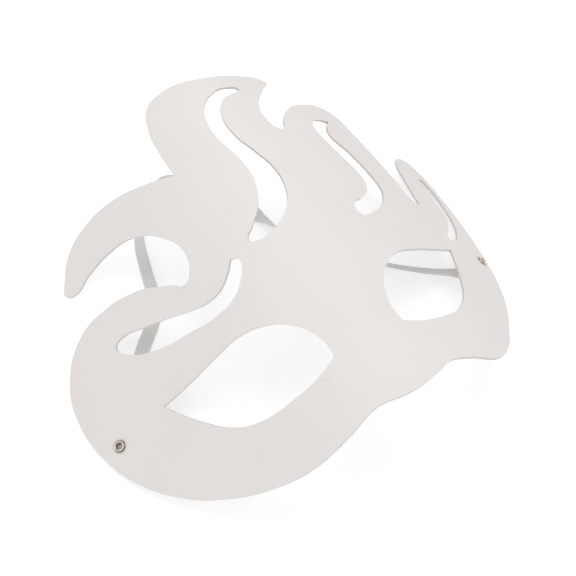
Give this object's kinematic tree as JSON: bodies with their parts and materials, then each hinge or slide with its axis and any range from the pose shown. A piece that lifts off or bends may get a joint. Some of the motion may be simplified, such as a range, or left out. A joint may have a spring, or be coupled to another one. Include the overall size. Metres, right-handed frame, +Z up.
{
  "type": "party mask",
  "caption": "Arched card half mask with flame-cut top, almond eye holes, flame slots, riveted metal eyelets and a loose flat elastic strap.",
  "frame": {"origin": "on the surface it lies on, under the middle of the card sheet", "axes": "+Z up from the surface to the crest of the nose, +Y up the face from the chin edge to the flames, +X across the mask to the viewer's right"},
  "size_m": [0.1628, 0.1378, 0.0591],
  "materials": {
    "card": "matte white card",
    "nickel": "nickel-plated steel",
    "elastic": "woven grey-white elastic"
  },
  "bodies": {
    "root": {"mask_card": "card", "eyelet_left": "nickel", "eyelet_right": "nickel", "elastic_strap": "elastic"}
  },
  "joints": []
}
